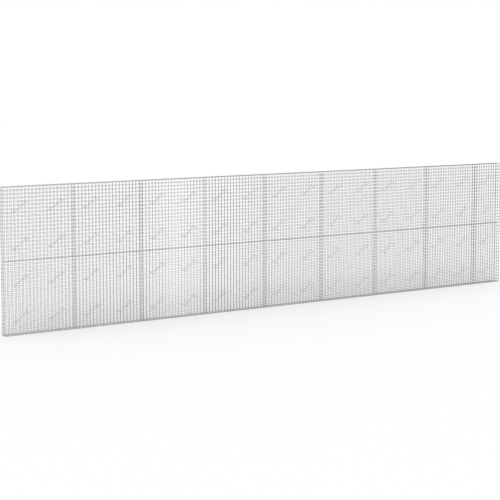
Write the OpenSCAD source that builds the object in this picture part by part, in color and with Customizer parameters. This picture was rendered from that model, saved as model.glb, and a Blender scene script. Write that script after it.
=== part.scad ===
// Gabion fence: two tall sheets of welded wire mesh, tied to each other and closed off
// into stone compartments by meshes across the fence at every bay, a base and a lid.
// X runs along the fence, Y from the front to the back, and Z up from the underside.

/* [Fence] */
// Length of a whole bay, from divider to divider
bay_l = 1000; // [600:50:1500]
// Length of the short bay at the right end
short_bay_l = 500; // [300:50:1000]
// Height of one tier of compartments
tier_h = 1000; // [500:50:1250]
// Depth over the outer faces of the two sheets
depth = 120; // [80:5:300]

/* [Wire] */
// Thickness of a mesh wire
wire = 4; // [3:0.5:6]
// Spacing of the upright wires in a sheet
upright_pitch = 50; // [50:5:200]
// Spacing of the level wires in a sheet
level_pitch = 200; // [50:10:500]
// Spacing of the wires across the fence in the base, the floor and the lid
cross_pitch = 200; // [50:10:500]

/* [Ties] */
// Diameter of a tie wire
tie_d = 2.2; // [2:0.2:4]
// Spacing of the pairs of crossed ties, along the fence and up it
tie_pitch = 500; // [250:50:750]
// How far a tie runs along the fence from its lower end to its upper end
tie_run = 200; // [50:50:200]
// How far a tie rises from its lower end to its upper end
tie_rise = 150; // [50:10:200]
// How far the middle of a pair of ties sits below the middle of its field
tie_drop = 25; // [0:5:50]
// Gap between the two ties of a pair where they cross
tie_gap = 0.3; // [0:0.1:1]

/* [Hidden] */

whole_bays = 8;
tiers = 2;
steel = [0.66, 0.68, 0.70];

fence_l = whole_bays * bay_l + short_bay_l;
fence_h = tiers * tier_h;
inner_y = depth / 2 - wire;
middle_z = tier_h;
lid_z = fence_h;

// Where bay i starts, counted from 0 at the left, and how long it is
function bay_x(i) = i * bay_l - fence_l / 2;
function bay_len(i) = i < whole_bays ? bay_l : short_bay_l;

// The spacing nearest to pitch that divides length evenly
function even(length, pitch) = length / max(1, round(length / pitch));

// A sheet of mesh across the face of bay i, with its lower left crossing at the origin.
// Its level wires end against the first upright of the next bay, or at its own last one.
module sheet(i) {
  last = i == whole_bays;
  length = bay_len(i);
  step_x = even(length, upright_pitch);
  step_z = even(tier_h, level_pitch);
  reach = last ? length + wire : length;
  uprights = round(length / step_x) - (last ? 0 : 1);
  linear_extrude(wire) {
    for (k = [0 : uprights]) {
      translate([k * step_x, 0]) square([wire, fence_h + wire]);
    }
    for (k = [0 : round(fence_h / step_z)]) {
      translate([0, k * step_z]) square([reach, wire]);
    }
  }
}

// The sheet of bay i, stood upright with its outer face at y
module standing_sheet(i, y) {
  translate([bay_x(i) - wire / 2, y + wire, 0]) rotate([90, 0, 0]) sheet(i);
}

module front_mesh(i) {
  color(steel) standing_sheet(i, -depth / 2);
}

module back_mesh(i) {
  color(steel) standing_sheet(i, depth / 2 - wire);
}

// A mesh across the fence at bay line i, standing on the base between the two sheets
module cross_mesh(i) {
  x = i > whole_bays ? fence_l / 2 : bay_x(i);
  step_z = even(tier_h, level_pitch);
  color(steel)
    translate([x - wire / 2, 0, 0])
      rotate([90, 0, 90])
        linear_extrude(wire) {
          for (y = [-inner_y, -wire / 2, inner_y - wire]) {
            translate([y, wire]) square([wire, fence_h]);
          }
          translate([-inner_y, wire]) square([2 * inner_y, wire]);
          for (k = [1 : round(fence_h / step_z)]) {
            translate([-inner_y, k * step_z]) square([2 * inner_y, wire]);
          }
        }
}

// The mesh that the fence stands on: three wires along it, with wires across
module base_mesh() {
  color(steel)
    translate([-wire / 2, 0, 0])
      linear_extrude(wire) {
        for (y = [-inner_y, -wire / 2, inner_y - wire]) {
          translate([-fence_l / 2, y]) square([fence_l + wire, wire]);
        }
        for (i = [0 : whole_bays]) {
          step_x = even(bay_len(i), cross_pitch);
          wires = round(bay_len(i) / step_x) - (i == whole_bays ? 0 : 1);
          for (k = [0 : wires]) {
            translate([bay_x(i) + k * step_x, -inner_y]) square([wire, 2 * inner_y]);
          }
        }
      }
}

// Loose wires across the fence with their underside at z, between one divider and the next
module cross_wires(z) {
  color(steel)
    for (i = [0 : whole_bays]) {
      step_x = even(bay_len(i), cross_pitch);
      for (k = [1 : round(bay_len(i) / step_x) - 1]) {
        translate([bay_x(i) + k * step_x - wire / 2, -inner_y, z])
          cube([wire, 2 * inner_y, wire]);
      }
    }
}

// A round wire between two points, cut off flush with the inner faces of the sheets
module tie(from, to) {
  run = to - from;
  length = norm(run);
  spare = tie_d * length / (2 * inner_y);
  intersection() {
    translate(from)
      rotate([0, acos(run[2] / length), atan2(run[1], run[0])])
        translate([0, 0, -spare])
          cylinder(d = tie_d, h = length + 2 * spare, $fn = 24);
    translate([-fence_l, -inner_y, -fence_h])
      cube([2 * fence_l, 2 * inner_y, 3 * fence_h]);
  }
}

// The two crossed ties of one field. They both rise to the right between the uprights at
// x and x + run, one of them from the front sheet to the back one and the other from the
// back to the front, one just above the other where they cross.
module tie_pair(x, run, z) {
  stagger = (tie_d + tie_gap) * norm([run, tie_rise]) / run;
  for (side = [-1, 1]) {
    foot = z + side * stagger / 2;
    tie([x, -side * inner_y, foot], [x + run, side * inner_y, foot + tie_rise]);
  }
}

// The ties of one tier, a pair to each field of the sheets
module tier_ties(tier) {
  rows = max(1, round(tier_h / tie_pitch));
  color(steel)
    for (i = [0 : whole_bays], row = [0 : rows - 1]) {
      step_x = even(bay_len(i), upright_pitch);
      columns = max(1, round(bay_len(i) / tie_pitch));
      run = max(1, round(tie_run / step_x)) * step_x;
      z = tier * tier_h + (row + 0.5) * tier_h / rows - tie_drop - tie_rise / 2;
      for (column = [0 : columns - 1]) {
        middle = (column + 0.5) * bay_len(i) / columns;
        first = round((middle - run / 2) / step_x);
        tie_pair(bay_x(i) + first * step_x, run, z);
      }
    }
}

module middle_floor_wires() {
  cross_wires(middle_z);
}

module lid_wires() {
  cross_wires(lid_z);
}

module lower_tie_wires() {
  tier_ties(0);
}

module upper_tie_wires() {
  tier_ties(1);
}

front_mesh(0);  // front_mesh_bay_1
front_mesh(1);  // front_mesh_bay_2
front_mesh(2);  // front_mesh_bay_3
front_mesh(3);  // front_mesh_bay_4
front_mesh(4);  // front_mesh_bay_5
front_mesh(5);  // front_mesh_bay_6
front_mesh(6);  // front_mesh_bay_7
front_mesh(7);  // front_mesh_bay_8
front_mesh(8);  // front_mesh_short_bay
back_mesh(0);  // back_mesh_bay_1
back_mesh(1);  // back_mesh_bay_2
back_mesh(2);  // back_mesh_bay_3
back_mesh(3);  // back_mesh_bay_4
back_mesh(4);  // back_mesh_bay_5
back_mesh(5);  // back_mesh_bay_6
back_mesh(6);  // back_mesh_bay_7
back_mesh(7);  // back_mesh_bay_8
back_mesh(8);  // back_mesh_short_bay
cross_mesh(0);  // left_end_mesh
cross_mesh(1);  // divider_mesh_1
cross_mesh(2);  // divider_mesh_2
cross_mesh(3);  // divider_mesh_3
cross_mesh(4);  // divider_mesh_4
cross_mesh(5);  // divider_mesh_5
cross_mesh(6);  // divider_mesh_6
cross_mesh(7);  // divider_mesh_7
cross_mesh(8);  // divider_mesh_8
cross_mesh(9);  // right_end_mesh
base_mesh();
middle_floor_wires();
lid_wires();
lower_tie_wires();
upper_tie_wires();
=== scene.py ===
"""Gabion fence of welded wire mesh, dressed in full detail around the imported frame.

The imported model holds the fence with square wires, and with fewer of them. This script
builds every wire round and at its real spacing, with its weld beads, the hooked and
wound ends of the ties and the rings that join the meshes, and gives the steel its
galvanised finish. All sizes are in metres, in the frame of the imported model.
"""

import sys

import logging
import math
import random
from dataclasses import dataclass, field
from enum import Enum

import bpy
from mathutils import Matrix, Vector

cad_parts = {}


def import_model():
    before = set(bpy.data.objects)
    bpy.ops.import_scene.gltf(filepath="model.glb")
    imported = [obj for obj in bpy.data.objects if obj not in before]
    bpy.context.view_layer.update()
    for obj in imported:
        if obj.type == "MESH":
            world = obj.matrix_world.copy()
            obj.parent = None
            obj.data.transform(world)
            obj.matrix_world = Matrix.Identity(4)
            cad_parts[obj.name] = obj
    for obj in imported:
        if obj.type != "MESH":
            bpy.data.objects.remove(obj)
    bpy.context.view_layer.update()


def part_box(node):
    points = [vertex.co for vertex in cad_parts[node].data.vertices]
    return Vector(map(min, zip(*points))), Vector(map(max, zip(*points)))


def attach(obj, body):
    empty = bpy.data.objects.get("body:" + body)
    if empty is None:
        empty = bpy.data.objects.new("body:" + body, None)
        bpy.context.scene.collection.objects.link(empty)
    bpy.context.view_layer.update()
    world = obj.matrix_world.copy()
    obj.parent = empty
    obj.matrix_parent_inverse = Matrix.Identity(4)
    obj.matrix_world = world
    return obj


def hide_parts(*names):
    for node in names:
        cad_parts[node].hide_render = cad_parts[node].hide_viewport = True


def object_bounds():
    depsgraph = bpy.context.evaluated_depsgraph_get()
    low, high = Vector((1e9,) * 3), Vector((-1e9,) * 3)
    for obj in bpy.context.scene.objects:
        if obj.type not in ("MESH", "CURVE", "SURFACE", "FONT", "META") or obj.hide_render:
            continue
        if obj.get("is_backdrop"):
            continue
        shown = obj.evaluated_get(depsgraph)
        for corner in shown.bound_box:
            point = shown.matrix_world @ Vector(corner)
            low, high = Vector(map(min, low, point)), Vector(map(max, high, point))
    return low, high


LOG = logging.getLogger("gabion_fence")

BODY = "root"
WHOLE_BAYS = 8
TIERS = 2


class Face(Enum):
    """The two long faces of the fence, with the way each one looks along Y."""

    FRONT = -1
    BACK = 1


class Course(Enum):
    """The two tiers of compartments, named as their tie wires are."""

    LOWER = 0
    UPPER = 1


# ---------------------------------------------------------------------------
# Sizes of the fence, read from the frame
# ---------------------------------------------------------------------------


@dataclass(frozen=True)
class Layout:
    """Where the fence stands in the frame and how its mesh is divided.

    Args:
        low: Lowest corner of the whole fence.
        high: Highest corner of the whole fence.
        bay_lines: X of the middle of each mesh that crosses the fence, ends included.
        opening: Spacing of the wires in every mesh.
        wire_d: Diameter of a mesh wire.
        bite: How far two wires are pressed into each other where they are welded.
    """

    low: Vector
    high: Vector
    bay_lines: tuple[float, ...]
    opening: float = 0.05
    wire_d: float = 0.004
    bite: float = 0.0005

    @classmethod
    def from_frame(cls) -> "Layout":
        """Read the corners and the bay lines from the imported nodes.

        Returns:
            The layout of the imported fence.
        """
        low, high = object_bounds()
        names = ["left_end_mesh"]
        names += [f"divider_mesh_{i}" for i in range(1, WHOLE_BAYS + 1)]
        names += ["right_end_mesh"]
        lines = []
        for name in names:
            near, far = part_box(name)
            lines.append((near.x + far.x) / 2)
        return cls(low=low, high=high, bay_lines=tuple(lines))

    @property
    def wire_r(self) -> float:
        """Radius of a mesh wire."""
        return self.wire_d / 2

    @property
    def layer(self) -> float:
        """Distance between the two layers of wires in a mesh."""
        return self.wire_d - self.bite

    @property
    def level_y(self) -> float:
        """Distance of the level wires of a sheet from the middle of the fence."""
        return self.high.y - self.wire_r

    @property
    def upright_y(self) -> float:
        """Distance of the uprights of a sheet from the middle of the fence."""
        return self.level_y - self.layer

    @property
    def inner_y(self) -> float:
        """Distance of the wires that lie inside against the uprights, from the middle."""
        return self.upright_y - self.wire_d

    @property
    def bottom_z(self) -> float:
        """Height of the lowest level wire."""
        return self.low.z + self.wire_r

    @property
    def top_z(self) -> float:
        """Height of the highest level wire."""
        return self.high.z - self.wire_r

    @property
    def tier_h(self) -> float:
        """Height of one tier."""
        return (self.top_z - self.bottom_z) / TIERS

    def steps(self, length: float) -> int:
        """Number of mesh openings in a length."""
        return max(1, round(length / self.opening))

    def levels(self) -> list[float]:
        """Heights of all the level wires, from the bottom up."""
        rows = TIERS * self.steps(self.tier_h)
        rise = (self.top_z - self.bottom_z) / rows
        return [self.bottom_z + rise * k for k in range(rows + 1)]

    def columns(self, bay: int) -> list[float]:
        """X of the mesh wires of a bay, from its left bay line to its right one.

        Args:
            bay: Number of the bay, counted from 0 at the left.

        Returns:
            The places of the wires, both bay lines included.
        """
        left, right = self.bay_lines[bay], self.bay_lines[bay + 1]
        count = self.steps(right - left)
        return [left + (right - left) * k / count for k in range(count + 1)]

    @property
    def bays(self) -> int:
        """Number of bays, with the short one."""
        return len(self.bay_lines) - 1

    def inside(self, place: Vector, reach: float) -> Vector:
        """Move a weld at the rim of the fence inwards, so that it stays within the outline.

        Args:
            place: Middle of the weld.
            reach: How far the weld reaches from its middle.

        Returns:
            The place, moved along X and Z where the weld would stand proud.
        """
        x = min(max(place.x, self.low.x + reach), self.high.x - reach)
        z = min(max(place.z, self.low.z + reach), self.high.z - reach)
        return Vector((x, place.y, z))


# ---------------------------------------------------------------------------
# Wire work
# ---------------------------------------------------------------------------


@dataclass(frozen=True)
class Weld:
    """Size of the flattened bead of metal where two crossing mesh wires are welded.

    Args:
        width: Width of the bead across the line between the two wires.
        thickness: Thickness of the bead along that line.
    """

    width: float = 0.0054
    thickness: float = 0.0026


@dataclass
class WireWork:
    """Collects round wires, weld beads and bent wires into one mesh.

    Args:
        sides: Number of sides of a wire.
        wear: Share of the radius by which a cut end is rounded off.
        belly: Share of a weld bead's width at its upper and lower edges.
        shoulder: Height of those edges, as a share of the bead's thickness.
        crease: Degrees between two faces from which their edge is sharp.
        verts: Corners gathered so far.
        faces: Faces gathered so far, as lists of corner numbers.
    """

    sides: int = 8
    wear: float = 0.25
    belly: float = 0.92
    shoulder: float = 0.2
    crease: float = 60.0
    verts: list[tuple[float, float, float]] = field(default_factory=list)
    faces: list[tuple[int, ...]] = field(default_factory=list)

    def _ring(self, centre: Vector, u: Vector, v: Vector, radius: float) -> int:
        """Add one ring of corners.

        Args:
            centre: Middle of the ring.
            u: First direction across the wire.
            v: Second direction across the wire.
            radius: Radius of the ring.

        Returns:
            The number of the ring's first corner.
        """
        first = len(self.verts)
        for k in range(self.sides):
            turn = 2 * math.pi * (k + 0.5) / self.sides
            corner = centre + u * (radius * math.cos(turn)) + v * (radius * math.sin(turn))
            self.verts.append(tuple(corner))
        return first

    def _skin(self, lower: int, upper: int) -> None:
        """Join two rings with a band of faces."""
        for k in range(self.sides):
            n = (k + 1) % self.sides
            self.faces.append((lower + k, lower + n, upper + n, upper + k))

    def bent(self, points: list[Vector], radius: float, cut: tuple[bool, bool] = (True, True)) -> None:
        """Add a wire along a line of points.

        Args:
            points: Middle line of the wire.
            radius: Radius of the wire.
            cut: Whether the start and the end are free cut ends, whose edges are rounded off.
        """
        ahead = [(b - a).normalized() for a, b in zip(points, points[1:])]
        tangents = [ahead[0]]
        tangents += [(a + b).normalized() for a, b in zip(ahead, ahead[1:])]
        tangents += [ahead[-1]]
        rings = [(place, tangent, radius) for place, tangent in zip(points, tangents)]
        worn = radius * self.wear
        if cut[0]:
            rings[0] = (points[0] + tangents[0] * worn, tangents[0], radius)
            rings.insert(0, (points[0], tangents[0], radius - worn))
        if cut[1]:
            rings[-1] = (points[-1] - tangents[-1] * worn, tangents[-1], radius)
            rings.append((points[-1], tangents[-1], radius - worn))
        across = rings[0][1].orthogonal()
        numbers = []
        for place, tangent, size in rings:
            across = (across - tangent * across.dot(tangent)).normalized()
            numbers.append(self._ring(place, across, tangent.cross(across), size))
        for lower, upper in zip(numbers, numbers[1:]):
            self._skin(lower, upper)
        self.faces.append(tuple(reversed(range(numbers[0], numbers[0] + self.sides))))
        self.faces.append(tuple(range(numbers[-1], numbers[-1] + self.sides)))

    def loop(self, points: list[Vector], normal: Vector, radius: float) -> None:
        """Add a closed ring of wire along a flat line of points.

        Args:
            points: Middle line of the ring, without a repeat of its first point.
            normal: Direction square to the ring's plane.
            radius: Radius of the wire.
        """
        count = len(points)
        numbers = []
        for k, place in enumerate(points):
            along = (points[(k + 1) % count] - points[k - 1]).normalized()
            numbers.append(self._ring(place, normal, along.cross(normal), radius))
        for k in range(count):
            self._skin(numbers[k], numbers[(k + 1) % count])

    def bead(self, centre: Vector, normal: Vector, weld: Weld) -> None:
        """Add the bead of a weld.

        Args:
            centre: Middle of the weld.
            normal: Direction from one wire to the other, of length 1.
            weld: Size of the bead.
        """
        u = normal.orthogonal().normalized()
        v = normal.cross(u)
        rise = normal * (weld.thickness / 2)
        edge = normal * (weld.thickness * self.shoulder)
        bottom = len(self.verts)
        self.verts.append(tuple(centre - rise))
        lower = self._ring(centre - edge, u, v, weld.width / 2 * self.belly)
        upper = self._ring(centre + edge, u, v, weld.width / 2 * self.belly)
        top = len(self.verts)
        self.verts.append(tuple(centre + rise))
        self._skin(lower, upper)
        for k in range(self.sides):
            n = (k + 1) % self.sides
            self.faces.append((bottom, lower + n, lower + k))
            self.faces.append((top, upper + k, upper + n))

    def piece(self, name: str) -> bpy.types.Object:
        """Make the collected wires into one object of the scene.

        Args:
            name: Name of the piece.

        Returns:
            The new object, smooth, and sharp only where two faces meet at more than the crease angle.
        """
        mesh = bpy.data.meshes.new(name)
        mesh.from_pydata(self.verts, [], self.faces)
        mesh.validate()
        mesh.shade_smooth()
        mesh.set_sharp_from_angle(angle=math.radians(self.crease))
        made = bpy.data.objects.new(name, mesh)
        bpy.context.scene.collection.objects.link(made)
        return made


# ---------------------------------------------------------------------------
# Finishes
# ---------------------------------------------------------------------------


def seen_directly(tree: bpy.types.NodeTree) -> bpy.types.NodeSocket:
    """Add nodes that tell whether a surface is seen, reflected or seen through.

    Args:
        tree: The node tree to add them to.

    Returns:
        A socket that is 1 for camera, glossy and transmission rays, and 0 otherwise.
    """
    ray = tree.nodes.new("ShaderNodeLightPath")
    total = ray.outputs["Is Camera Ray"]
    for kind in ("Is Glossy Ray", "Is Transmission Ray"):
        either = tree.nodes.new("ShaderNodeMath")
        either.operation = "MAXIMUM"
        tree.links.new(total, either.inputs[0])
        tree.links.new(ray.outputs[kind], either.inputs[1])
        total = either.outputs["Value"]
    return total


@dataclass(frozen=True)
class GalvanisedFinish:
    """Hot-dip galvanised steel wire: zinc with spangle, dull patches and a fine grained relief.

    Args:
        name: Name of the material.
        light: Colour of the brightest zinc crystals.
        dark: Colour of the dullest zinc crystals.
        metal: How metallic the zinc is.
        gloss: Roughness of the brightest zinc.
        dullness: Roughness of the dullest zinc.
        spangle: Number of zinc crystals along a metre.
        patches: Number of dull patches along a metre.
        patch_detail: Number of finer layers in the pattern of patches.
        patch_detail_share: Strength of each finer layer against the one before.
        patch_share: Share of the patches in the mixed pattern, the rest being crystals.
        grains: Number of grains in the relief to one crystal.
        grain_detail: Number of finer layers in the relief.
        relief: Height of the surface's relief.
        relief_strength: Share of the relief that shows.
        spread: Levels of the mixed pattern that give the dullest and the brightest zinc.
    """

    name: str
    light: tuple[float, float, float] = (0.285, 0.287, 0.29)
    dark: tuple[float, float, float] = (0.16, 0.161, 0.163)
    metal: float = 0.55
    gloss: float = 0.38
    dullness: float = 0.62
    spangle: float = 260.0
    patches: float = 7.0
    patch_detail: float = 5.0
    patch_detail_share: float = 0.6
    patch_share: float = 0.5
    grains: float = 4.0
    grain_detail: float = 3.0
    relief: float = 0.00012
    relief_strength: float = 0.6
    spread: tuple[float, float] = (0.25, 0.75)

    def material(self) -> bpy.types.Material:
        """Build the node material.

        Returns:
            The material, ready to be assigned.
        """
        made = bpy.data.materials.new(self.name)
        made.use_nodes = True
        nodes, links = made.node_tree.nodes, made.node_tree.links
        nodes.clear()
        out = nodes.new("ShaderNodeOutputMaterial")
        steel = nodes.new("ShaderNodeBsdfPrincipled")
        steel.inputs["Metallic"].default_value = self.metal
        links.new(steel.outputs["BSDF"], out.inputs["Surface"])
        place = nodes.new("ShaderNodeTexCoord")

        crystals = nodes.new("ShaderNodeTexVoronoi")
        crystals.inputs["Scale"].default_value = self.spangle
        links.new(place.outputs["Object"], crystals.inputs["Vector"])
        patches = nodes.new("ShaderNodeTexNoise")
        patches.inputs["Scale"].default_value = self.patches
        patches.inputs["Detail"].default_value = self.patch_detail
        patches.inputs["Roughness"].default_value = self.patch_detail_share
        links.new(place.outputs["Object"], patches.inputs["Vector"])
        grain = nodes.new("ShaderNodeTexNoise")
        grain.inputs["Scale"].default_value = self.grains * self.spangle
        grain.inputs["Detail"].default_value = self.grain_detail
        links.new(place.outputs["Object"], grain.inputs["Vector"])

        shade = nodes.new("ShaderNodeMix")
        shade.data_type = "FLOAT"
        shade.inputs["Factor"].default_value = self.patch_share
        links.new(crystals.outputs["Color"], shade.inputs["A"])
        links.new(patches.outputs["Fac"], shade.inputs["B"])

        tint = nodes.new("ShaderNodeValToRGB")
        tint.color_ramp.elements[0].position = self.spread[0]
        tint.color_ramp.elements[0].color = (*self.dark, 1.0)
        tint.color_ramp.elements[1].position = self.spread[1]
        tint.color_ramp.elements[1].color = (*self.light, 1.0)
        links.new(shade.outputs["Result"], tint.inputs["Fac"])
        links.new(tint.outputs["Color"], steel.inputs["Base Color"])

        rough = nodes.new("ShaderNodeMapRange")
        rough.inputs["From Min"].default_value = self.spread[0]
        rough.inputs["From Max"].default_value = self.spread[1]
        rough.inputs["To Min"].default_value = self.dullness
        rough.inputs["To Max"].default_value = self.gloss
        links.new(shade.outputs["Result"], rough.inputs["Value"])
        links.new(rough.outputs["Result"], steel.inputs["Roughness"])

        bump = nodes.new("ShaderNodeBump")
        bump.inputs["Strength"].default_value = self.relief_strength
        bump.inputs["Distance"].default_value = self.relief
        links.new(grain.outputs["Fac"], bump.inputs["Height"])
        links.new(bump.outputs["Normal"], steel.inputs["Normal"])
        return made


@dataclass(frozen=True)
class PaleFloorFinish:
    """A plain floor that keeps the fence's shadow, and shows as white where it is bare.

    Args:
        light: Strength of the light on the bare floor.
        name: Name of the material.
        shade: Grey of the floor, from 0 for black to 1 for white.
    """

    light: float
    name: str = "pale_floor"
    shade: float = 0.85

    def material(self) -> bpy.types.Material:
        """Build the node material.

        Returns:
            The material, ready to be assigned.
        """
        made = bpy.data.materials.new(self.name)
        made.use_nodes = True
        nodes, links = made.node_tree.nodes, made.node_tree.links
        nodes.clear()
        out = nodes.new("ShaderNodeOutputMaterial")
        matt = nodes.new("ShaderNodeBsdfDiffuse")
        matt.inputs["Color"].default_value = (self.shade, self.shade, self.shade, 1.0)
        glow = nodes.new("ShaderNodeEmission")
        glow.inputs["Color"].default_value = (1.0, 1.0, 1.0, 1.0)
        level = nodes.new("ShaderNodeMath")
        level.operation = "MULTIPLY"
        level.inputs[1].default_value = 1.0 - self.shade * self.light
        links.new(seen_directly(made.node_tree), level.inputs[0])
        links.new(level.outputs["Value"], glow.inputs["Strength"])
        both = nodes.new("ShaderNodeAddShader")
        links.new(matt.outputs["BSDF"], both.inputs[0])
        links.new(glow.outputs["Emission"], both.inputs[1])
        links.new(both.outputs["Shader"], out.inputs["Surface"])
        return made


# ---------------------------------------------------------------------------
# The meshes of the fence
# ---------------------------------------------------------------------------


@dataclass
class Sheet:
    """The welded mesh over one bay of a long face, both tiers high.

    Args:
        layout: Where the fence stands.
        face: The face that the sheet closes.
        bay: Number of the bay, counted from 0 at the left.
        weld: Size of the welds.
    """

    layout: Layout
    face: Face
    bay: int
    weld: Weld = field(default_factory=Weld)

    @property
    def name(self) -> str:
        """Name of the piece."""
        return f"{self.face.name.lower()}_sheet_{self.bay + 1}"

    @property
    def node(self) -> str:
        """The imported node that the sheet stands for."""
        bay = f"bay_{self.bay + 1}" if self.bay < WHOLE_BAYS else "short_bay"
        return f"{self.face.name.lower()}_mesh_{bay}"

    def build(self, finish: bpy.types.Material) -> bpy.types.Object:
        """Weld the level wires onto the uprights.

        Args:
            finish: Material of the wires.

        Returns:
            The sheet.
        """
        plan, side = self.layout, self.face.value
        first, last = self.bay == 0, self.bay == plan.bays - 1
        columns = plan.columns(self.bay)
        uprights = columns if last else columns[:-1]
        left = plan.low.x if first else columns[0]
        right = plan.high.x if last else columns[-1]
        work = WireWork()
        level_y, upright_y = side * plan.level_y, side * plan.upright_y
        for z in plan.levels():
            ends = Vector((left, level_y, z)), Vector((right, level_y, z))
            work.bent(list(ends), plan.wire_r, cut=(first, last))
        for x in uprights:
            ends = Vector((x, upright_y, plan.low.z)), Vector((x, upright_y, plan.high.z))
            work.bent(list(ends), plan.wire_r)
        weld_y = (level_y + upright_y) / 2
        outward = Vector((0.0, side, 0.0))
        for x in uprights:
            for z in plan.levels():
                place = plan.inside(Vector((x, weld_y, z)), self.weld.width / 2)
                work.bead(place, outward, self.weld)
        return dress(work.piece(self.name), finish, "galvanised_wire", self.node)


@dataclass
class CrossMesh:
    """The mesh across the fence at one bay line: an end, or a divider between two bays.

    Args:
        layout: Where the fence stands.
        line: Number of the bay line, counted from 0 at the left.
        weld: Size of the welds.
    """

    layout: Layout
    line: int
    weld: Weld = field(default_factory=Weld)

    @property
    def is_right_end(self) -> bool:
        """Whether this mesh closes the fence at the right."""
        return self.line == self.layout.bays

    @property
    def name(self) -> str:
        """Name of the piece."""
        if self.line == 0:
            return "left_end"
        return "right_end" if self.is_right_end else f"divider_{self.line}"

    @property
    def node(self) -> str:
        """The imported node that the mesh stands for."""
        if 0 < self.line < self.layout.bays:
            return f"divider_mesh_{self.line}"
        return f"{self.name}_mesh"

    def build(self, finish: bpy.types.Material) -> bpy.types.Object:
        """Weld the cross wires onto the three uprights.

        Args:
            finish: Material of the wires.

        Returns:
            The mesh.
        """
        plan = self.layout
        x = plan.bay_lines[self.line]
        cross_x = x - plan.layer if self.is_right_end else x + plan.layer
        reach = plan.inner_y + plan.wire_r
        foot = plan.bottom_z + plan.layer + plan.wire_r
        work = WireWork()
        uprights = (-plan.inner_y, 0.0, plan.inner_y)
        for y in uprights:
            work.bent([Vector((x, y, foot)), Vector((x, y, plan.high.z))], plan.wire_r)
        for z in plan.levels()[1:]:
            work.bent([Vector((cross_x, -reach, z)), Vector((cross_x, reach, z))], plan.wire_r)
            for y in uprights:
                middle = plan.inside(Vector(((x + cross_x) / 2, y, z)), self.weld.width / 2)
                work.bead(middle, Vector((1.0, 0.0, 0.0)), self.weld)
        return dress(work.piece(self.name), finish, "galvanised_wire", self.node)


@dataclass
class BaseMesh:
    """The mesh that the fence stands on: three wires along it, with cross wires on top.

    Args:
        layout: Where the fence stands.
        weld: Size of the welds.
    """

    layout: Layout
    weld: Weld = field(default_factory=Weld)
    name: str = "base"
    node: str = "base_mesh"

    def build(self, finish: bpy.types.Material) -> bpy.types.Object:
        """Weld the cross wires onto the wires along the fence.

        Args:
            finish: Material of the wires.

        Returns:
            The mesh.
        """
        plan = self.layout
        work = WireWork()
        along = (-plan.inner_y, 0.0, plan.inner_y)
        z = plan.bottom_z
        cross_z = z + plan.layer
        reach = plan.inner_y + plan.wire_r
        for y in along:
            work.bent([Vector((plan.low.x, y, z)), Vector((plan.high.x, y, z))], plan.wire_r)
        places = {x for bay in range(plan.bays) for x in plan.columns(bay)}
        for x in sorted(places):
            work.bent([Vector((x, -reach, cross_z)), Vector((x, reach, cross_z))], plan.wire_r)
            for y in along:
                middle = plan.inside(Vector((x, y, (z + cross_z) / 2)), self.weld.width / 2)
                work.bead(middle, Vector((0.0, 0.0, 1.0)), self.weld)
        return dress(work.piece(self.name), finish, "galvanised_wire", self.node)


@dataclass
class CrossWires:
    """Level mesh between the dividers of every bay: the middle floor or the lid.

    Each bay's strip has wires across the fence, whose ends are welded to the uprights
    of the two sheets, and one wire along its middle, welded under them.

    Args:
        layout: Where the fence stands.
        name: Name of the piece.
        node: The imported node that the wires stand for.
        z: Height of the cross wires.
        weld: Size of the welds.
        clearance: Gap that the wire along the middle leaves at the dividers.
    """

    layout: Layout
    name: str
    node: str
    z: float
    weld: Weld = field(default_factory=Weld)
    clearance: float = 0.001

    def build(self, finish: bpy.types.Material) -> bpy.types.Object:
        """Weld the strips of all the bays.

        Args:
            finish: Material of the wires.

        Returns:
            The strips, as one piece.
        """
        plan = self.layout
        work = WireWork()
        reach = plan.inner_y + plan.wire_r
        along_z = self.z - plan.layer
        for bay in range(plan.bays):
            columns = plan.columns(bay)
            last = bay == plan.bays - 1
            left = columns[0] + plan.layer + plan.wire_r + self.clearance
            right = columns[-1] - plan.wire_r - self.clearance - (plan.layer if last else 0.0)
            work.bent([Vector((left, 0.0, along_z)), Vector((right, 0.0, along_z))], plan.wire_r)
            for x in columns[1:-1]:
                work.bent([Vector((x, -reach, self.z)), Vector((x, reach, self.z))], plan.wire_r)
                middle = Vector((x, 0.0, (self.z + along_z) / 2))
                work.bead(middle, Vector((0.0, 0.0, 1.0)), self.weld)
                for side in (-1, 1):
                    seam = plan.inside(Vector((x, side * reach, self.z)), self.weld.width / 2)
                    work.bead(seam, Vector((0.0, side, 0.0)), self.weld)
        return dress(work.piece(self.name), finish, "galvanised_wire", self.node)


# ---------------------------------------------------------------------------
# The small wires that hold the meshes together
# ---------------------------------------------------------------------------


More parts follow.
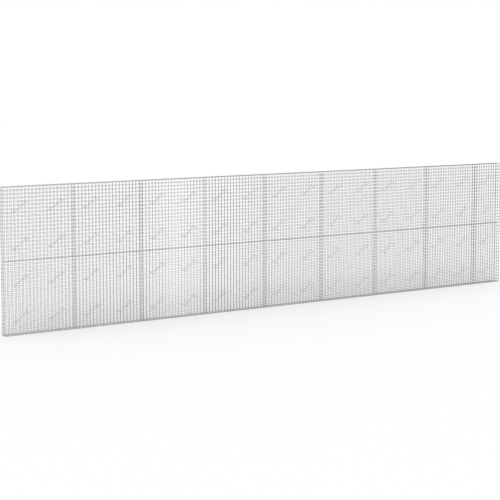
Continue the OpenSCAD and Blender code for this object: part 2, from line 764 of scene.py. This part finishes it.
@dataclass
class TieSet:
    """The ties of one course, which keep the two sheets from spreading.

    Every field of the sheets has a crossed pair. A tie is hooked round an upright of one
    sheet, just above a level wire, and climbs through the compartment to an upright of the
    other sheet, just below a level wire, where it is hooked again. Behind both hooks its
    free end is wound round it.

    Args:
        layout: Where the fence stands.
        course: The tier that the ties belong to.
        wire_d: Diameter of a tie wire.
        pitch: Spacing of the pairs, along the fence and up it.
        run: Distance along the fence between the two uprights of a tie.
        rise: Height between the two level wires of a tie.
        drop: How far the middle of a pair sits below the middle of its field.
        gap: Gap between wires that pass close to each other.
        wound: Length of the part that a free end is wound round.
        lead: Distance from the hook to that part.
        turns: Number of turns of a free end.
        ease: Share of the climb over which a tie turns from level to rising.
        stray: Largest difference of a free end's turns from their usual number.
        sides: Number of sides of a tie wire.
        hook_pieces: Number of straight pieces in the bend of a hook.
        ease_pieces: Number of straight pieces over which a tie turns from level to rising.
        turn_pieces: Number of straight pieces in one turn of a free end.
        seed: Seed of the small differences between ties.
    """

    layout: Layout
    course: Course
    wire_d: float = 0.0022
    pitch: float = 0.5
    run: float = 0.2
    rise: float = 0.15
    drop: float = 0.025
    gap: float = 0.0003
    wound: float = 0.026
    lead: float = 0.011
    turns: float = 4.5
    ease: float = 0.045
    stray: float = 0.5
    sides: int = 6
    hook_pieces: int = 8
    ease_pieces: int = 3
    turn_pieces: int = 6
    seed: int = 11

    @property
    def name(self) -> str:
        """Name of the piece."""
        return f"{self.course.name.lower()}_ties"

    @property
    def node(self) -> str:
        """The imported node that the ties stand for."""
        return f"{self.course.name.lower()}_tie_wires"

    @property
    def grip(self) -> float:
        """Distance from the middle of an upright to the middle of a tie bent round it."""
        return (self.layout.wire_d + self.wire_d) / 2

    @property
    def heading(self) -> float:
        """Angle of the climb to the fence, seen from above."""
        depth = 2 * self.layout.upright_y
        return math.atan2(depth, self.run) + math.asin(2 * self.grip / math.hypot(depth, self.run))

    @property
    def reach(self) -> float:
        """Length of the climb, seen from above."""
        span = math.hypot(2 * self.layout.upright_y, self.run)
        return math.sqrt(span**2 - (2 * self.grip) ** 2)

    @property
    def stagger(self) -> float:
        """Height between the two ties of a pair where they cross."""
        climb = self.rise / self.reach
        level = math.cos(self.heading)
        return (self.wire_d + self.gap) * math.hypot(climb, level) / level

    @property
    def height(self) -> float:
        """How far a tie rises between the hooks, which stay clear of the level wires."""
        return self.rise - 2 * (self.grip + self.gap) - self.stagger

    def _on_climb(self, start: Vector, arrive: Vector, share: float) -> Vector:
        """Point of the climb at a share of the way, level at both ends."""
        steepest = 1 / (1 - self.ease)
        near = min(share, 1 - share)
        if near < self.ease:
            climbed = steepest * near**2 / (2 * self.ease)
        else:
            climbed = steepest * (near - self.ease / 2)
        place = start.lerp(arrive, share)
        place.z = start.z + (arrive.z - start.z) * (climbed if share < 0.5 else 1 - climbed)
        return place

    def _hook(self, upright: Vector, side: float, far: Vector, turns: float) -> list[Vector]:
        """Bend one end of a tie round its upright and wind the free end round the climb.

        Args:
            upright: Middle of the upright, at the height of the hook.
            side: 1.0 where the tie leaves the upright towards +X, -1.0 where towards -X.
            far: Start of the climb at the tie's other end.
            turns: Number of turns of the free end.

        Returns:
            The points of the end, from the start of the climb to the tip of the free end.
        """
        out = math.copysign(1.0, upright.y)
        points = []
        for k in range(self.hook_pieces + 1):
            turn = self.heading - math.pi * k / self.hook_pieces
            around = Vector((side * math.sin(turn), out * math.cos(turn), 0.0))
            points.append(upright + self.grip * around)
        start = points[0]
        ahead = (far - start).normalized()
        aside = points[-1] - start
        aside = (aside - ahead * aside.dot(ahead)).normalized()
        over = ahead.cross(aside)
        count = round(turns * self.turn_pieces)
        for k in range(count + 1):
            turn = 2 * math.pi * k / self.turn_pieces
            around = math.cos(turn) * aside + math.sin(turn) * over
            middle = self._on_climb(start, far, (self.lead + self.wound * k / count) / self.reach)
            points.append(middle + (self.wire_d + self.gap) * around)
        return points

    def route(self, foot: Vector, turns: tuple[float, float]) -> list[Vector]:
        """Work out the middle line of one tie.

        Args:
            foot: Middle of the lower upright, at the height of the tie's lower hook.
            turns: Number of turns of the lower and of the upper free end.

        Returns:
            The points of the tie, from its lower end to its upper end.
        """
        head = Vector((foot.x + self.run, -foot.y, foot.z + self.height))
        out = math.copysign(1.0, foot.y)
        off = self.grip * Vector((math.sin(self.heading), out * math.cos(self.heading), 0.0))
        start, arrive = foot + off, head - off
        rising = [self.ease * k / self.ease_pieces for k in range(1, self.ease_pieces + 1)]
        shares = rising + [1 - share for share in reversed(rising)]
        lower = self._hook(foot, 1.0, arrive, turns[0])
        upper = self._hook(head, -1.0, start, turns[1])
        return lower[::-1] + [self._on_climb(start, arrive, share) for share in shares] + upper

    def build(self, finish: bpy.types.Material) -> bpy.types.Object:
        """Bend all the ties of the course.

        Args:
            finish: Material of the ties.

        Returns:
            The ties, as one piece.
        """
        plan = self.layout
        draw = random.Random(self.seed + self.course.value)
        work = WireWork(sides=self.sides)
        rows = max(1, round(plan.tier_h / self.pitch))
        ground = plan.low.z + plan.wire_r + self.course.value * plan.tier_h
        for bay in range(plan.bays):
            columns = plan.columns(bay)
            length = columns[-1] - columns[0]
            fields = max(1, round(length / self.pitch))
            for row in range(rows):
                z = ground + (row + 0.5) * plan.tier_h / rows - self.drop - self.height / 2
                for number in range(fields):
                    middle = (number + 0.5) * length / fields
                    x = columns[plan.steps(middle - self.run / 2)]
                    for face in Face:
                        up = -face.value * self.stagger / 2
                        turns = tuple(self.turns + draw.uniform(-1, 1) * self.stray for _ in range(2))
                        foot = Vector((x, face.value * plan.upright_y, z + up))
                        work.bent(self.route(foot, turns), self.wire_d / 2)
        return dress(work.piece(self.name), finish, "tie_wire", self.node)


@dataclass
class JoiningRings:
    """Wires that clamp the outer uprights of every cross mesh to the two sheets.

    A divider has closed oval rings. An end mesh has open clips, which leave its outer side flat.

    Args:
        layout: Where the fence stands.
        wire_d: Diameter of a ring's wire.
        every: Number of mesh openings from one ring to the next.
        start: Mesh opening of the lowest ring, counted from 0.
        segments: Number of straight pieces in a ring.
        stray: Largest distance of a ring from the middle of its mesh opening.
        seed: Seed of those distances.
        name: Name of the piece.
    """

    layout: Layout
    wire_d: float = 0.0028
    every: int = 4
    start: int = 1
    segments: int = 16
    stray: float = 0.008
    seed: int = 5
    name: str = "joining_rings"

    @property
    def bend(self) -> float:
        """Distance from the middle of an upright to the middle of a ring's wire."""
        return (self.layout.wire_d + self.wire_d) / 2

    def _ring(self, centre: Vector) -> list[Vector]:
        """Points of one ring: two half circles with short straights between them."""
        points = []
        for k in range(self.segments):
            turn = 2 * math.pi * (k + 0.5) / self.segments
            shift = math.copysign(self.layout.wire_r, math.sin(turn))
            around = Vector((self.bend * math.cos(turn), self.bend * math.sin(turn) + shift, 0.0))
            points.append(centre + around)
        return points

    def _clip(self, centre: Vector, inward: float) -> list[Vector]:
        """Points of an open clip: the half of a ring that faces into the fence."""
        points = []
        for k in range(self.segments // 2 + 1):
            turn = math.pi * (2 * k / self.segments - 0.5)
            across = (self.bend + self.layout.wire_r) * math.sin(turn)
            points.append(centre + Vector((inward * self.bend * math.cos(turn), across, 0.0)))
        return points

    def build(self, finish: bpy.types.Material) -> bpy.types.Object:
        """Bend all the rings and clips of the fence.

        Args:
            finish: Material of the rings.

        Returns:
            The rings and clips, as one piece.
        """
        plan = self.layout
        draw = random.Random(self.seed)
        work = WireWork()
        levels = plan.levels()
        pair_y = (plan.upright_y + plan.inner_y) / 2
        for line, x in enumerate(plan.bay_lines):
            inward = {0: 1.0, plan.bays: -1.0}.get(line, 0.0)
            for side in (-1, 1):
                for row in range(self.start, len(levels) - 1, self.every):
                    z = (levels[row] + levels[row + 1]) / 2 + draw.uniform(-1, 1) * self.stray
                    centre = Vector((x, side * pair_y, z))
                    if inward:
                        work.bent(self._clip(centre, inward), self.wire_d / 2)
                    else:
                        work.loop(self._ring(centre), Vector((0.0, 0.0, 1.0)), self.wire_d / 2)
        return dress(work.piece(self.name), finish, "tie_wire")


def dress(piece: bpy.types.Object, finish: bpy.types.Material, slot: str, *nodes: str) -> bpy.types.Object:
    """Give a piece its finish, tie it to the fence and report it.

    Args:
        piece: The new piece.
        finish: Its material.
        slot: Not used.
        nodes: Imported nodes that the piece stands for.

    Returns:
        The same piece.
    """
    piece.data.materials.append(finish)
    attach(piece, BODY)
    if nodes:
        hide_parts(*nodes)
    LOG.info("%s: %d faces, for %s", piece.name, len(piece.data.polygons), ", ".join(nodes) or "no node")
    return piece


# ---------------------------------------------------------------------------
# Studio
# ---------------------------------------------------------------------------


@dataclass
class Studio:
    """Camera, lamps, surroundings and floor.

    Args:
        station: Place of the camera.
        heading: Degrees that the camera looks to the right of +Y.
        tilt: Degrees that it looks down.
        lens: Focal length in millimetres.
        sensor: Width of the sensor in millimetres.
        shift: Vertical shift of the lens.
        key: Strength of the main lamp.
        key_lean: Degrees of the main lamp from overhead.
        key_turn: Degrees that the main lamp stands to the left of the front.
        key_size: Apparent size of the main lamp in degrees.
        ambient: Strength of the light from all around.
        floor_reach: Half the side of the floor.
    """

    station: tuple[float, float, float] = (-8.388, -14.592, 3.489)
    heading: float = 28.396
    tilt: float = 4.606
    lens: float = 80.849
    sensor: float = 36.0
    shift: float = -0.17
    key: float = 0.8
    key_lean: float = 48.0
    key_turn: float = 35.0
    key_size: float = 30.0
    ambient: float = 0.8
    floor_reach: float = 60.0

    def camera(self) -> None:
        """Set up the camera."""
        data = bpy.data.cameras.new("camera")
        data.lens = self.lens
        data.sensor_width = self.sensor
        data.shift_y = self.shift
        made = bpy.data.objects.new("camera", data)
        made.location = self.station
        made.rotation_euler = (math.radians(90 - self.tilt), 0.0, -math.radians(self.heading))
        bpy.context.scene.collection.objects.link(made)
        bpy.context.scene.camera = made

    def lamps(self) -> None:
        """Set up the soft main lamp, high at the front left."""
        data = bpy.data.lights.new("main_lamp", "SUN")
        data.energy = self.key
        data.angle = math.radians(self.key_size)
        made = bpy.data.objects.new("main_lamp", data)
        made.rotation_euler = (math.radians(self.key_lean), 0.0, -math.radians(self.key_turn))
        bpy.context.scene.collection.objects.link(made)

    def surroundings(self) -> None:
        """Light the scene evenly from all around, with a white background."""
        world = bpy.data.worlds.new("studio")
        bpy.context.scene.world = world
        world.use_nodes = True
        nodes, links = world.node_tree.nodes, world.node_tree.links
        nodes.clear()
        out = nodes.new("ShaderNodeOutputWorld")
        back = nodes.new("ShaderNodeBackground")
        back.inputs["Color"].default_value = (1.0, 1.0, 1.0, 1.0)
        links.new(back.outputs["Background"], out.inputs["Surface"])
        seen = seen_directly(world.node_tree)
        level = nodes.new("ShaderNodeMapRange")
        level.inputs["To Min"].default_value = self.ambient
        level.inputs["To Max"].default_value = 1.0
        links.new(seen, level.inputs["Value"])
        links.new(level.outputs["Result"], back.inputs["Strength"])

    def floor(self, height: float) -> None:
        """Lay the floor.

        Args:
            height: Height of the floor.
        """
        r = self.floor_reach
        mesh = bpy.data.meshes.new("floor")
        corners = [(-r, -r, height), (r, -r, height), (r, r, height), (-r, r, height)]
        mesh.from_pydata(corners, [], [(0, 1, 2, 3)])
        made = bpy.data.objects.new("floor", mesh)
        light = self.ambient + self.key * math.cos(math.radians(self.key_lean)) / math.pi
        made.data.materials.append(PaleFloorFinish(light).material())
        bpy.context.scene.collection.objects.link(made)
        made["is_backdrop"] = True

    def build(self, height: float) -> None:
        """Set up everything, with the floor at a height."""
        bpy.context.scene.view_settings.view_transform = "Standard"
        self.camera()
        self.lamps()
        self.surroundings()
        self.floor(height)


def main() -> None:
    """Load the frame, build every sub-assembly and set up the studio."""
    logging.basicConfig(level=logging.INFO, format="%(name)s: %(message)s", stream=sys.stdout)
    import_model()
    layout = Layout.from_frame()
    mesh_zinc = GalvanisedFinish(name="galvanised_mesh_wire").material()
    tie_zinc = GalvanisedFinish(
        name="galvanised_tie_wire",
        light=(0.24, 0.242, 0.245),
        dark=(0.14, 0.141, 0.143),
        spangle=420.0,
    ).material()
    for face in Face:
        for bay in range(layout.bays):
            Sheet(layout, face, bay).build(mesh_zinc)
    for line in range(len(layout.bay_lines)):
        CrossMesh(layout, line).build(mesh_zinc)
    BaseMesh(layout).build(mesh_zinc)
    middle_z = layout.bottom_z + layout.tier_h
    CrossWires(layout, "middle_floor", "middle_floor_wires", middle_z).build(mesh_zinc)
    CrossWires(layout, "lid", "lid_wires", layout.top_z).build(mesh_zinc)
    for course in Course:
        TieSet(layout, course).build(tie_zinc)
    JoiningRings(layout).build(tie_zinc)
    Studio().build(layout.low.z)


if __name__ == "__main__":
    main()
